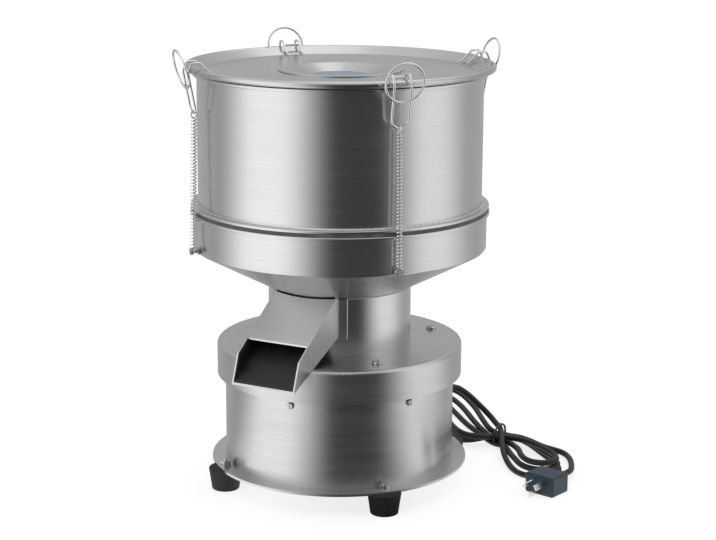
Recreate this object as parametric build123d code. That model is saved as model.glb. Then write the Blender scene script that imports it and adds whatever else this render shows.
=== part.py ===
from build123d import *
import math
import os

# Vibrating sieve, in millimetres. Z is up, the origin lies on the floor under the axis of the drum,
# and the discharge chute points to -Y.

# Clearances
FIT_GAP = 0.1          # between pieces that are fixed to each other
REST_GAP = 0.3         # between a clip and what it hooks over
SHAFT_GAP = 0.05       # radial, shaft in bearing
PIVOT_GAP = 0.06       # radial, rocker pin in its hole
REACH = 20.0           # how far cutters run past what they cut

# Feet, base plate and housing
FOOT_HEIGHT = 24.0
FOOT_TOP_R = 18.0
FOOT_BOTTOM_R = 14.5
FOOT_EDGE = 1.5
FOOT_BORE_R = 6.5
FOOT_BORE_DEPTH = 9.0
FOOT_BOLT_RISE = 7.0   # of the bolt's end above the plate
FOOT_NUT_GAP = 1.5     # from the housing to the corner of a nut
PLATE_RIM = 15.0       # of the plate beyond the housing
PLATE_T = 1.5
PLATE_LIP = 2.6
HOUSING_R = 122.8
HOUSING_WALL = 1.2
HOUSING_HEIGHT = 98.5
SUPPORT_T = 2.5
SUPPORT_WIDTH = 33.5
SUPPORT_FLANGE = 18.0
SUPPORT_FLANGE_T = 1.5

# Cap that the motor hangs from, and the springs that carry it
CAP_OVERHANG = 8.6     # of the cap beyond the housing
CAP_T = 1.5
CAP_SKIRT = 35.1
CAP_CORNER_R = 3.5
CAP_HOLE_R = 20.0
SPRING_INSET = 15.2    # of the springs' circle inside the housing
SPRING_GAP = 28.7      # from the support ring to the underside of the cap
SPRING_OUTER_R = 12.0
SPRING_WIRE_R = 1.5
SPRING_TURNS = 5.0
SPRING_SCREW_RISE = 8.0

# Lower chamber: neck, cone and drum section in one welded shell
NECK_R = 76.2
NECK_HEIGHT = 61.9
CONE_HEIGHT = 41.8
CHAMBER_OUTSET = 5.5   # of the drum section beyond the barrel
CHAMBER_HEIGHT = 40.1
CHAMBER_WALL = 1.2
NECK_BEND_R = 2.0
CHAMBER_BEND_R = 3.0
RIM_LIP = 2.8          # of the rim beyond the drum section
RIM_HEIGHT = 4.0
RIM_EDGE = 1.2

# Sieve between chamber and barrel
GASKET_T = 3.4
GASKET_INSET = 1.1     # inside the chamber's rim
GASKET_WIDTH = 6.7
SIEVE_INSET = 3.0      # inside the barrel's outside
SIEVE_WALL = 1.2
SIEVE_DEPTH = 10.0
SIEVE_FLANGE_INSET = 1.2    # inside the gasket's edge
SIEVE_FLANGE_T = 1.0
MESH_T = 0.5

# Barrel and lid
BARREL_R = 150.0
BARREL_WALL = 1.2
BARREL_HEIGHT = 142.0
BARREL_FOOT_INSET = 0.7     # inside the chamber's rim
BARREL_FOOT_H = 3.2
BARREL_RIM_LIP = 4.2
BARREL_RIM_H = 4.0
BARREL_EDGE = 1.2
LID_T = 1.1
LID_PLATE_INSET = 8.0  # of the flat plate's edge inside the barrel's outside
LID_OVERHANG = 2.2     # of the slope beyond the barrel's rim
LID_SLOPE_RISE = 6.9
LID_BEAD_OUTSET = 2.7  # of the curled edge's centre beyond the slope
LID_BEAD_WIRE = 3.6
LID_BEAD_DROP = 2.55   # of that centre below the top of the slope
LID_RISE = 0.6         # lid plate above the top of the barrel
FEED_HOLE_R = 57.0
FEED_OVERLAP = 9.0     # of the feed cover over the lid
DISH_GAP = 2.5         # from the edge of the hole to the dish
DISH_RUN = 23.3
DISH_DEPTH = 9.0
DISH_LEDGE = 4.2       # of the dish's floor round its hole
DISH_BEND_R = 2.0
WINDOW_OVERLAP = 2.6   # of the window over the dish's floor
WINDOW_T = 2.6

# Discharge chute
CHUTE_WIDTH = 73.0
CHUTE_SHEET = 1.5
CHUTE_OVERHANG = 28.8  # of the lip beyond the cap
CHUTE_KINK_BACK = 11.1 # top front corner of the side plates, behind the lip
CHUTE_TOP_BACK = 29.9  # end of the top plate, behind the lip
CHUTE_LIP_DROP = 16.0  # of the lip below the top of the cap
CHUTE_TOP_SLOPE = 33.2
CHUTE_FLOOR_SLOPE = 31.5
CHUTE_SIDE_SLOPE = 22.4
CHUTE_FLANGE = 7.5
CHUTE_FLANGE_DROP = 0.3
CHUTE_TOP_GAP = 1.4    # open joint between top plate and cone
LINER_T = 1.0
LINER_INSET = 0.8
DISCHARGE_T = 1.5
DISCHARGE_SLOPE = 9.0

# Spring clips
CLIP_COUNT = 4
CLIP_AZIMUTH = 50.0
HOOK_WIRE_R = 1.2
HOOK_SPREAD = 18.0
HOOK_TIP_INSET = 0.8   # of the tips inside the edge of the lid's plate
HOOK_TIP_RUN = 6.8     # from the tips to the first bend
HOOK_TIP_RISE = 3.7    # of the first bend above the lid's slope
HOOK_OUTSET = 5.2      # of the outer leg beyond the lid's curled edge
HOOK_ARCH = 5.5        # of the arch above the lid's curled edge
HOOK_ARCH_RUN = 9.0
HOOK_DROP = 38.0       # from the lid's plate down to the lowest wire
HOOK_SPRING_OUTSET = 0.5    # of the hook's lowest wire beyond the centre of the lid's edge
HOOK_BAR_R = 1.1
RING_R = 20.0
RING_WIRE_R = 1.2
RING_LEAN = 15.5
RING_HANG = 16.6       # of the ring's lowest wire below the lid's curled edge
STUD_HEIGHT = 4.2      # above the bottom of the drum section
STUD_R = 2.0
STUD_HEAD_R = 3.8
STUD_HEAD_T = 2.4
STUD_NUT_T = 2.2
STUD_SPRING_OUTSET = 6.9    # of the spring's lower end beyond the drum section
COIL_R = 3.2
EYE_R = 3.3
EYE_WIRE_R = 0.6

# Motor
MOTOR_R = 50.0
MOTOR_WALL = 3.0
MOTOR_LENGTH = 84.0
MOTOR_FLANGE = 12.0
MOTOR_FLANGE_T = 4.0
MOTOR_WEB = 12.0
MOTOR_BOLT_OUTSET = 6.0     # beyond the motor's body
MOTOR_MOUTH_GAP = 2.0  # radial, shaft in the webs of the motor
BEARING_R = 17.5
BEARING_T = 11.0
SHAFT_R = 7.5
SHAFT_UP = 27.0        # above the cap
SHAFT_DOWN = 31.0      # below the motor
CORE_LENGTH = 36.0
STATOR_BORE_R = 30.0
AIR_GAP = 0.5
WINDING_H = 9.0
WINDING_INSET = 3.0
WEIGHT_T = 15.0
WEIGHT_HUB_R = 15.0
UPPER_WEIGHT_R = 54.0
LOWER_WEIGHT_R = 46.0
WEIGHT_STANDOFF = 6.0

# Fasteners: shank radius, head radius, head height, nut across flats, nut height
M4 = (2.0, 3.7, 2.4, 7.0, 3.2)
M6 = (3.0, 5.4, 3.2, 10.0, 5.0)
SLOT_WIDTH = 1.0
SLOT_DEPTH = 1.1
THREAD_END = 4.0       # of a screw's shank past what it holds
SCREW_COUNT = 6
SCREW_AZIMUTH = 275.0
SCREW_DROP = 11.3      # below the top of the housing

# Switch
SWITCH_Z = 78.0
BEZEL_W = 15.0
BEZEL_H = 21.0
BEZEL_T = 2.0
BEZEL_CORNER_R = 1.5
SWITCH_W = 13.0
SWITCH_H = 19.0
SWITCH_DEPTH = 17.0    # behind the housing's surface
POCKET_W = 10.6
POCKET_H = 18.0
POCKET_DEPTH = 10.0
ROCKER_SIDE_GAP = 0.4
ROCKER_END_GAP = 0.9
ROCKER_DEPTH = 7.0
ROCKER_BACK = 4.0      # from the pin to the back of the rocker
ROCKER_DISH = 1.0
ROCKER_PIN_R = 1.2
ROCKER_PIN_LENGTH = 11.6
ROCKER_PIN_END_GAP = 0.2
ROCKER_PIN_DROP = 4.5  # of the pin behind the face of the bezel
ROCKER_TILT = 8.0

# Electrical parts inside the housing
CAPACITOR_R = 15.0
CAPACITOR_H = 42.0
CAPACITOR_EDGE = 2.0
CAPACITOR_AZIMUTH = 200.0
BLOCK_LENGTH = 38.0
BLOCK_WIDTH = 20.0
BLOCK_HEIGHT = 16.0
BLOCK_AZIMUTH = 20.0
BLOCK_WELLS = 4
BLOCK_WELL_R = 2.6
BLOCK_WELL_DEPTH = 4.0
BLOCK_WELL_PITCH = 8.4
INSIDE_INSET = 34.8    # of their circle inside the housing

# Gland, cord, hank and tie
CORD_R = 3.3
GLAND_AZIMUTH = 70.0
GLAND_Z = 67.0
GLAND_FLANGE_R = 8.5
GLAND_FLANGE_T = 3.0
GLAND_SHOULDER_R = 6.1
GLAND_SHOULDER_H = 2.0
GLAND_TIP_R = 4.6
GLAND_LENGTH = 28.0
GLAND_INSIDE = 6.0
LEAD_STRAIGHT = 23.0   # from the gland's tip to the first bend
LEAD_POINTS = (        # these and what follows are counted from the gland's place on the housing
    (25.0, 69.6, 52.5),
    (34.5, 83.6, 36.0),
    (47.0, 86.6, 24.0),
    (61.0, 77.1, 17.5),
)
HANK_HEIGHT = 21.0
HANK_LOBES = (
    ((-6.0, 106.6), 106.0, 50.0, 130.0),
    ((126.0, 24.6), 74.0, 46.0, 138.0),
)
HANK_WAIST = (70.0, 64.6)
WAIST_WIDTH = 36.0
WAIST_LENGTH = 26.0
TIE_WIDTH = 4.6
TIE_T = 1.2

# Plug
PLUG_CENTRE = (179.5, -57.9)
PLUG_TURN = -12.0      # about Z, from pins towards -Y
PLUG_WIDTH = 36.0
PLUG_DEPTH = 30.0
PLUG_HEIGHT = 22.0
PLUG_EDGE = 2.5
PLUG_BOOT = 14.0
PLUG_BOOT_R = 7.5
TAIL_LENGTH = 16.0
PIN_THICKNESS = 1.6
PIN_WIDTH = 6.3
PIN_LENGTH = 17.0
PIN_LAYOUT = ((-7.0, 3.0, 30.0), (7.0, 3.0, -30.0), (0.0, -5.5, 0.0))    # X, Z and turn of each

# Heights of the stack, from the floor up
plate_top = FOOT_HEIGHT + PLATE_T
housing_top = plate_top + HOUSING_HEIGHT
cap_under = housing_top + SPRING_GAP
cap_top = cap_under + CAP_T
neck_top = cap_top + NECK_HEIGHT
cone_top = neck_top + CONE_HEIGHT
chamber_top = cone_top + CHAMBER_HEIGHT
barrel_bottom = chamber_top + GASKET_T
barrel_top = barrel_bottom + BARREL_HEIGHT
lid_plate = barrel_top + LID_RISE
bead_z = lid_plate + LID_SLOPE_RISE - LID_BEAD_DROP
motor_bottom = cap_under - MOTOR_LENGTH
core_middle = cap_under - MOTOR_LENGTH / 2
foot_circle = HOUSING_R + FOOT_NUT_GAP + M6[3] / math.sqrt(3)

# Radii and reaches that follow the housing
plate_r = HOUSING_R + PLATE_RIM
cap_r = HOUSING_R + CAP_OVERHANG
spring_circle = HOUSING_R - SPRING_INSET
inside_circle = HOUSING_R - INSIDE_INSET
motor_flange_r = MOTOR_R + MOTOR_FLANGE
motor_bolt_circle = MOTOR_R + MOTOR_BOLT_OUTSET
chute_reach = cap_r + CHUTE_OVERHANG
chute_kink = chute_reach - CHUTE_KINK_BACK
chute_top_reach = chute_reach - CHUTE_TOP_BACK

# Radii that follow the barrel
chamber_r = BARREL_R + CHAMBER_OUTSET
rim_r = chamber_r + RIM_LIP
gasket_outer_r = rim_r - GASKET_INSET
sieve_r = BARREL_R - SIEVE_INSET
sieve_flange_r = gasket_outer_r - SIEVE_FLANGE_INSET
barrel_foot_r = rim_r - BARREL_FOOT_INSET
barrel_rim_r = BARREL_R + BARREL_RIM_LIP
lid_plate_r = BARREL_R - LID_PLATE_INSET
lid_slope_r = barrel_rim_r + LID_OVERHANG
lid_bead_r = lid_slope_r + LID_BEAD_OUTSET
hook_spring_r = lid_bead_r + HOOK_SPRING_OUTSET
stud_spring_r = chamber_r + STUD_SPRING_OUTSET

# Radii of the feed cover, which follow its hole
feed_flange_r = FEED_HOLE_R + FEED_OVERLAP
dish_r = FEED_HOLE_R - DISH_GAP
dish_bottom_r = dish_r - DISH_RUN
dish_hole_r = dish_bottom_r - DISH_LEDGE
window_r = dish_hole_r + WINDOW_OVERLAP


def sin(degrees):
    return math.sin(math.radians(degrees))


def cos(degrees):
    return math.cos(math.radians(degrees))


def tan(degrees):
    return math.tan(math.radians(degrees))


def turned(points, radii=0.0):
    """Solid of revolution about Z from a closed outline of (radius, height) points."""
    corners = [(radius, 0, height) for radius, height in points]
    outline = FilletPolyline(*corners, radius=radii, close=True)
    return revolve(make_face(outline), Axis.Z)


def ring(outer, inner, bottom, top):
    return turned([(inner, bottom), (outer, bottom), (outer, top), (inner, top)])


def disc(radius, bottom, top):
    return Pos(0, 0, bottom) * Cylinder(radius, top - bottom, align=(Align.CENTER, Align.CENTER, Align.MIN))


def hexagon(across_flats, bottom, top):
    outline = RegularPolygon(across_flats / math.sqrt(3), 6)
    return Pos(0, 0, bottom) * extrude(outline, amount=top - bottom)


def box(low, high):
    size = [b - a for a, b in zip(low, high)]
    return Pos(*low) * Box(*size, align=(Align.MIN, Align.MIN, Align.MIN))


def centred_box(width, low_y, high_y, height):
    """Box as wide to each side of X = 0, and as high above Z = 0 as below it."""
    return box((-width / 2, low_y, -height / 2), (width / 2, high_y, height / 2))


def prism(points, half_width):
    """Solid with a (y, z) outline, as wide to each side of X = 0."""
    outline = Plane.YZ * make_face(Polyline(*points, close=True))
    return extrude(outline, amount=half_width, both=True)


def around(piece, count, first_azimuth, radius=0.0, height=0.0):
    """Copies of a piece spaced evenly about Z, each with its own X pointing outwards."""
    step = 360.0 / count
    return [Rot(0, 0, first_azimuth + i * step) * Pos(radius, 0, height) * piece for i in range(count)]


def at_corners(piece, radius, height=0.0):
    """Copies at the azimuths that clips, springs and feet share."""
    return around(piece, CLIP_COUNT, CLIP_AZIMUTH, radius, height)


def group(pieces):
    return Compound(children=[Solid(piece.solid().wrapped) for piece in pieces])


def rod(path, radius):
    section = Plane(origin=path @ 0, z_dir=path % 0) * Circle(radius)
    return sweep(section, path=path)


def polar(radius, azimuth, height):
    return (radius * cos(azimuth), radius * sin(azimuth), height)


def save(name, shape):
    export_step(shape, f"parts/{name}.step")


def cut(piece, cutters):
    """A piece after cutting, without the crumbs that lie beyond a cut."""
    for cutter in cutters:
        piece = piece - cutter
    return max(piece.solids(), key=lambda solid: solid.volume)


def shank(fastener, bottom, top):
    return disc(fastener[0], bottom, top)


def hole(fastener, bottom, top):
    return disc(fastener[0] + FIT_GAP, bottom, top)


def nut(fastener, bottom):
    return hexagon(fastener[3], bottom, bottom + fastener[4])


def pan_screw(fastener, seat, length):
    """Screw with a domed slotted head above the seat and its shank below."""
    head_r = fastener[1]
    top = seat + fastener[2]
    rounding = fastener[2] * 0.6
    head = turned([(0, seat), (head_r, seat), (head_r, top), (0, top)], [0, 0, rounding, 0])
    slot = box((-head_r, -SLOT_WIDTH / 2, top - SLOT_DEPTH), (head_r, SLOT_WIDTH / 2, top + REACH))
    return head + shank(fastener, seat - length, seat) - slot


# Base

def make_feet():
    bore_r = M6[0] + FIT_GAP
    outline = [
        (bore_r, FOOT_HEIGHT),
        (bore_r, FOOT_BORE_DEPTH),
        (FOOT_BORE_R, FOOT_BORE_DEPTH),
        (FOOT_BORE_R, 0),
        (FOOT_BOTTOM_R, 0),
        (FOOT_TOP_R, FOOT_HEIGHT),
    ]
    foot = turned(outline, [0, 0, 0, 0, FOOT_EDGE, FOOT_EDGE])
    bolt = disc(M6[1], FOOT_BORE_DEPTH - M6[2], FOOT_BORE_DEPTH)
    bolt += shank(M6, FOOT_BORE_DEPTH, plate_top + FOOT_BOLT_RISE)
    foot_nut = nut(M6, plate_top) - hole(M6, 0, plate_top + REACH)
    save("rubber_feet", group(at_corners(foot, foot_circle)))
    save("foot_bolts", group(at_corners(bolt, foot_circle)))
    save("foot_nuts", group(at_corners(foot_nut, foot_circle)))


def make_base_plate():
    plate = disc(plate_r, FOOT_HEIGHT, plate_top)
    plate += ring(plate_r, plate_r - PLATE_T, plate_top - PLATE_LIP, plate_top)
    foot_space = disc(FOOT_TOP_R + FIT_GAP, 0, FOOT_HEIGHT)
    cutters = at_corners(hole(M6, 0, plate_top + REACH), foot_circle) + at_corners(foot_space, foot_circle)
    save("base_plate", cut(plate, cutters))


def housing_screw_places(piece):
    """Copies of a piece along +X, set into the housing's wall where its screws are."""
    return around(Rot(0, 90, 0) * piece, SCREW_COUNT, SCREW_AZIMUTH, HOUSING_R, housing_top - SCREW_DROP)


def make_housing():
    housing = ring(HOUSING_R, HOUSING_R - HOUSING_WALL, plate_top, housing_top)
    opening = centred_box(
        SWITCH_W + 2 * FIT_GAP, HOUSING_R - REACH, HOUSING_R + REACH, SWITCH_H + 2 * FIT_GAP
    )
    gland_hole = Rot(0, 90, 0) * disc(GLAND_TIP_R + FIT_GAP, HOUSING_R - REACH, HOUSING_R + REACH)
    screw_holes = housing_screw_places(hole(M4, -REACH, REACH))
    cutters = [Pos(0, 0, SWITCH_Z) * opening, Pos(0, 0, GLAND_Z) * Rot(0, 0, GLAND_AZIMUTH) * gland_hole]
    save("housing", cut(housing, cutters + screw_holes))

    outer = HOUSING_R - HOUSING_WALL - FIT_GAP
    support = ring(outer, outer - SUPPORT_WIDTH, housing_top - SUPPORT_T, housing_top)
    support += ring(outer, outer - SUPPORT_FLANGE_T, housing_top - SUPPORT_FLANGE, housing_top)
    spring_holes = at_corners(hole(M6, housing_top - REACH, housing_top + REACH), spring_circle)
    save("support_ring", cut(support, screw_holes + spring_holes))

    screw = pan_screw(M4, FIT_GAP, HOUSING_WALL + SUPPORT_FLANGE_T + THREAD_END)
    save("housing_screws", group(housing_screw_places(screw)))


# Suspension

def make_suspension():
    low = housing_top + SPRING_WIRE_R + FIT_GAP
    high = cap_under - SPRING_WIRE_R - FIT_GAP
    mean_r = SPRING_OUTER_R - SPRING_WIRE_R
    path = Helix(pitch=(high - low) / SPRING_TURNS, height=high - low, radius=mean_r)
    section = Plane(origin=path @ 0, z_dir=path % 0) * Circle(SPRING_WIRE_R)
    wire = sweep(section, path=path, is_frenet=True)
    save("suspension_springs", group(at_corners(wire, spring_circle, low)))

    lower = nut(M6, housing_top - SUPPORT_T - M6[4])
    lower += shank(M6, housing_top - SUPPORT_T, housing_top + SPRING_SCREW_RISE)
    lower += nut(M6, housing_top)
    save("spring_screws", group(at_corners(lower, spring_circle)))

    upper = pan_screw(M6, cap_top, CAP_T + SPRING_SCREW_RISE)
    upper += nut(M6, cap_under - M6[4])
    save("cap_screws", group(at_corners(upper, spring_circle)))


def make_cap():
    skirt_bottom = cap_top - CAP_SKIRT
    outline = [
        (CAP_HOLE_R, cap_top),
        (cap_r, cap_top),
        (cap_r, skirt_bottom),
        (cap_r - CAP_T, skirt_bottom),
        (cap_r - CAP_T, cap_under),
        (CAP_HOLE_R, cap_under),
    ]
    cap = turned(outline, [0, CAP_CORNER_R, 0, 0, CAP_CORNER_R - CAP_T, 0])
    low = cap_under - REACH
    high = cap_top + REACH
    cutters = at_corners(hole(M6, low, high), spring_circle)
    cutters += at_corners(hole(M4, low, high), motor_bolt_circle)
    save("vibrating_cap", cut(cap, cutters))


# Motor and eccentric weights

def make_motor():
    web_low = cap_under - MOTOR_WEB
    cover_high = motor_bottom + MOTOR_WEB
    seat_r = BEARING_R + FIT_GAP
    mouth_r = SHAFT_R + MOTOR_MOUTH_GAP
    bore_r = SHAFT_R + SHAFT_GAP
    inner_r = MOTOR_R - MOTOR_WALL

    shell = ring(MOTOR_R, inner_r, cover_high, cap_under)
    shell += ring(motor_flange_r, inner_r, cap_under - MOTOR_FLANGE_T, cap_under)
    shell += ring(MOTOR_R, seat_r, web_low, cap_under)
    shell += ring(BEARING_R + MOTOR_WALL, mouth_r, web_low + BEARING_T + FIT_GAP, cap_under)
    bolt_holes = at_corners(hole(M4, cap_under - REACH, cap_under + REACH), motor_bolt_circle)
    save("motor_housing", cut(shell, bolt_holes))

    cover = ring(MOTOR_R, seat_r, motor_bottom, cover_high)
    cover += ring(BEARING_R + MOTOR_WALL, mouth_r, motor_bottom, cover_high - BEARING_T - FIT_GAP)
    save("motor_end_cover", cover)
    save("upper_bearing", ring(BEARING_R, bore_r, web_low, web_low + BEARING_T))
    save("lower_bearing", ring(BEARING_R, bore_r, cover_high - BEARING_T, cover_high))

    core_low = core_middle - CORE_LENGTH / 2
    core_high = core_middle + CORE_LENGTH / 2
    save("stator_core", ring(inner_r - FIT_GAP, STATOR_BORE_R, core_low, core_high))
    winding_in = STATOR_BORE_R + WINDING_INSET
    winding_out = inner_r - WINDING_INSET
    windings = []
    for low in (core_low - WINDING_H, core_high):
        high = low + WINDING_H
        outline = [(winding_in, low), (winding_out, low), (winding_out, high), (winding_in, high)]
        windings.append(turned(outline, [WINDING_H / 3] * 4))
    save("stator_winding", group(windings))

    flange_under = cap_under - MOTOR_FLANGE_T
    bolt = hexagon(M4[3], cap_top, cap_top + M4[2])
    bolt += shank(M4, flange_under - M4[4], cap_top)
    bolt += nut(M4, flange_under - M4[4])
    save("motor_bolts", group(at_corners(bolt, motor_bolt_circle)))


def eccentric_weight(radius, low):
    """Half-disc weight with a hub, clamped on the shaft."""
    high = low + WEIGHT_T
    half = disc(radius, low, high) & box((-radius, -radius, low), (radius, 0, high))
    return half + disc(WEIGHT_HUB_R, low, high) - disc(SHAFT_R + FIT_GAP, low - REACH, high + REACH)


def make_rotor():
    save("motor_shaft", disc(SHAFT_R, motor_bottom - SHAFT_DOWN, cap_top + SHAFT_UP))
    core_low = core_middle - CORE_LENGTH / 2
    save("rotor_core", ring(STATOR_BORE_R - AIR_GAP, SHAFT_R + FIT_GAP, core_low, core_low + CORE_LENGTH))

    upper_low = cap_top + WEIGHT_STANDOFF
    lower_low = motor_bottom - WEIGHT_STANDOFF - WEIGHT_T
    bolt = Rot(-90, 0, 0) * disc(M4[0], SHAFT_R + FIT_GAP, WEIGHT_HUB_R + M4[2])
    bolt_hole = Rot(-90, 0, 0) * hole(M4, 0, WEIGHT_HUB_R + REACH)
    bolts = []
    for name, radius, low in (
        ("upper_weight", UPPER_WEIGHT_R, upper_low),
        ("lower_weight", LOWER_WEIGHT_R, lower_low),
    ):
        middle = Pos(0, 0, low + WEIGHT_T / 2)
        save(name, cut(eccentric_weight(radius, low), [middle * bolt_hole]))
        bolts.append(middle * bolt)
    save("weight_bolts", group(bolts))


# Chamber, discharge floor and chute

def top_line(distance):
    """Height of the chute's top surface at a distance in front of the axis."""
    return neck_top - (distance - NECK_R) * tan(CHUTE_TOP_SLOPE)


def floor_line(distance):
    """Height of the underside of the chute's floor."""
    return cap_top - CHUTE_LIP_DROP + (chute_reach - distance) * tan(CHUTE_FLOOR_SLOPE)


def side_line(distance):
    """Height of the lower edge of the chute's side plates."""
    return cap_top - CHUTE_LIP_DROP + (chute_reach - distance) * tan(CHUTE_SIDE_SLOPE)


# Upright thickness of the chute's sloping sheets, and where their rough blanks start inside the neck
chute_drop = CHUTE_SHEET / cos(CHUTE_TOP_SLOPE)
chute_root = NECK_R / 2
chute_half = CHUTE_WIDTH / 2


def corner_shift(thickness):
    """How far the corners at both ends of the cone shift in height when its wall is offset."""
    width = chamber_r - NECK_R
    return thickness * (math.hypot(width, CONE_HEIGHT) - CONE_HEIGHT) / width


def envelope(gap):
    """Solid that fills neck, cone and drum section, with a gap added on its outside."""
    drop = corner_shift(gap)
    outline = [
        (0, cap_top),
        (NECK_R + gap, cap_top),
        (NECK_R + gap, neck_top - drop),
        (chamber_r + gap, cone_top - drop),
        (chamber_r + gap, chamber_top),
        (0, chamber_top),
    ]
    return turned(outline)


def make_chamber():
    wall = CHAMBER_WALL
    rise = corner_shift(wall)
    corners = [
        (NECK_R, cap_top, 0),
        (NECK_R, neck_top, NECK_BEND_R),
        (chamber_r, cone_top, CHAMBER_BEND_R),
        (chamber_r, chamber_top - RIM_HEIGHT, 0),
        (rim_r, chamber_top - RIM_HEIGHT, RIM_EDGE),
        (rim_r, chamber_top, RIM_EDGE),
        (chamber_r - wall, chamber_top, 0),
        (chamber_r - wall, cone_top + rise, CHAMBER_BEND_R - wall),
        (NECK_R - wall, neck_top + rise, NECK_BEND_R - wall),
        (NECK_R - wall, cap_top, 0),
    ]
    shell = turned([corner[:2] for corner in corners], [corner[2] for corner in corners])
    far = NECK_R + REACH
    mouth = prism(
        [
            (-chute_root, floor_line(chute_root) + chute_drop),
            (-far, floor_line(far) + chute_drop),
            (-far, top_line(far) - chute_drop),
            (-chute_root, top_line(chute_root) - chute_drop),
        ],
        chute_half - CHUTE_SHEET,
    )
    stud_hole = Rot(0, 90, 0) * Cylinder(STUD_R + FIT_GAP, REACH)
    save("lower_chamber", cut(shell, [mouth] + at_corners(stud_hole, chamber_r, cone_top + STUD_HEIGHT)))


def make_discharge_floor():
    inner = NECK_R - CHAMBER_WALL - FIT_GAP
    front = floor_line(inner) + chute_drop
    back = front + 2 * inner * tan(DISCHARGE_SLOPE)
    outline = [(-inner, front - DISCHARGE_T), (inner, back - DISCHARGE_T), (inner, back), (-inner, front)]
    save("discharge_floor", prism(outline, inner) & disc(inner, cap_top, cone_top))


def make_chute():
    side = prism(
        [
            (-chute_root, side_line(chute_root)),
            (-chute_reach, side_line(chute_reach)),
            (-chute_kink, top_line(chute_kink)),
            (-chute_root, top_line(chute_root)),
        ],
        chute_half,
    )
    inner_half = chute_half - CHUTE_SHEET
    side -= box((-inner_half, -chute_reach - REACH, 0), (inner_half, 0, chamber_top))
    seam_half = chute_half - CHUTE_SHEET / 2
    top_plate = prism(
        [
            (-chute_root, top_line(chute_root) - chute_drop),
            (-chute_top_reach, top_line(chute_top_reach) - chute_drop),
            (-chute_top_reach, top_line(chute_top_reach)),
            (-chute_root, top_line(chute_root)),
        ],
        seam_half,
    )
    top_plate -= envelope(CHUTE_TOP_GAP)
    lip = chute_reach - CHUTE_SHEET * cos(CHUTE_FLOOR_SLOPE)
    floor_plate = prism(
        [
            (-chute_root, floor_line(chute_root)),
            (-chute_reach, floor_line(chute_reach)),
            (-lip, floor_line(lip) + chute_drop),
            (-chute_root, floor_line(chute_root) + chute_drop),
        ],
        seam_half,
    )
    flange_low = side_line(NECK_R)
    flange_high = neck_top - CHUTE_FLANGE_DROP
    flange_r = NECK_R + CHUTE_SHEET
    flange = ring(flange_r, NECK_R, flange_low, flange_high)
    flange &= box((inner_half, -flange_r, flange_low), (chute_half + CHUTE_FLANGE, 0, flange_high))
    blank = side + top_plate + floor_plate + flange + mirror(flange, about=Plane.YZ)
    cap_space = disc(cap_r + 2 * FIT_GAP, 0, cap_top + FIT_GAP)
    save("discharge_chute", cut(blank, [envelope(FIT_GAP), cap_space]))

    rise = chute_drop + FIT_GAP
    far = chute_reach - LINER_INSET
    kink = chute_kink - LINER_INSET
    beyond = chute_reach + REACH
    top_drop = chute_drop + LINER_INSET
    outline = [
        (-NECK_R, floor_line(NECK_R) + rise),
        (-far, floor_line(far) + rise),
        (-kink, top_line(kink) - top_drop),
        (-NECK_R, top_line(NECK_R) - top_drop),
    ]
    hollow = [
        (0, floor_line(0) + rise + LINER_T),
        (-beyond, floor_line(beyond) + rise + LINER_T),
        (-beyond, chamber_top),
        (0, chamber_top),
    ]
    inside = inner_half - FIT_GAP
    liner = prism(outline, inside) - prism(hollow, inside - LINER_T)
    save("chute_liner", cut(liner, [envelope(FIT_GAP)]))


# Sieve, barrel and lid

def make_sieve():
    flange_low = chamber_top + (GASKET_T - SIEVE_FLANGE_T) / 2
    flange_high = flange_low + SIEVE_FLANGE_T
    gasket = ring(gasket_outer_r, gasket_outer_r - GASKET_WIDTH, chamber_top, barrel_bottom)
    gasket -= disc(sieve_flange_r + FIT_GAP, flange_low - FIT_GAP, flange_high + FIT_GAP)
    save("sieve_gasket", gasket)
    frame_low = flange_high - SIEVE_DEPTH
    frame = ring(sieve_flange_r, sieve_r - SIEVE_WALL, flange_low, flange_high)
    frame += ring(sieve_r, sieve_r - SIEVE_WALL, frame_low, flange_high)
    save("sieve_ring", frame)
    save("sieve_mesh", disc(sieve_r, frame_low - MESH_T, frame_low))


def make_barrel():
    inner = BARREL_R - BARREL_WALL
    foot_top = barrel_bottom + BARREL_FOOT_H
    rim_bottom = barrel_top - BARREL_RIM_H
    corners = [
        (inner, barrel_bottom, 0),
        (barrel_foot_r, barrel_bottom, BARREL_EDGE),
        (barrel_foot_r, foot_top, BARREL_EDGE),
        (BARREL_R, foot_top, BARREL_EDGE),
        (BARREL_R, rim_bottom, 0),
        (barrel_rim_r, rim_bottom, BARREL_EDGE),
        (barrel_rim_r, barrel_top, BARREL_EDGE),
        (inner, barrel_top, 0),
    ]
    save("barrel", turned([corner[:2] for corner in corners], [corner[2] for corner in corners]))


def lid_surface(radius):
    """Height of the lid's upper surface on its slope."""
    return lid_plate + (radius - lid_plate_r) * LID_SLOPE_RISE / (lid_slope_r - lid_plate_r)


def make_lid():
    slope_end = lid_slope_r + LID_T
    outline = [
        (FEED_HOLE_R, lid_plate),
        (lid_plate_r, lid_plate),
        (lid_slope_r, lid_surface(lid_slope_r)),
        (slope_end, lid_surface(slope_end) - 2 * LID_T),
        (lid_plate_r, lid_plate - LID_T),
        (FEED_HOLE_R, lid_plate - LID_T),
    ]
    bead = revolve(Plane.XZ * Pos(lid_bead_r, bead_z) * Circle(LID_BEAD_WIRE), Axis.Z)
    sheet = turned(outline)
    save("lid", sheet + bead)

    # The gasket lies on the barrel's rim and follows the underside of the lid's slope
    inner = BARREL_R - BARREL_WALL
    seat = barrel_top + FIT_GAP
    blank = ring(barrel_rim_r, inner, seat, lid_surface(barrel_rim_r))
    save("lid_gasket", cut(blank, [sheet, Pos(0, 0, -FIT_GAP) * sheet]))


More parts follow.
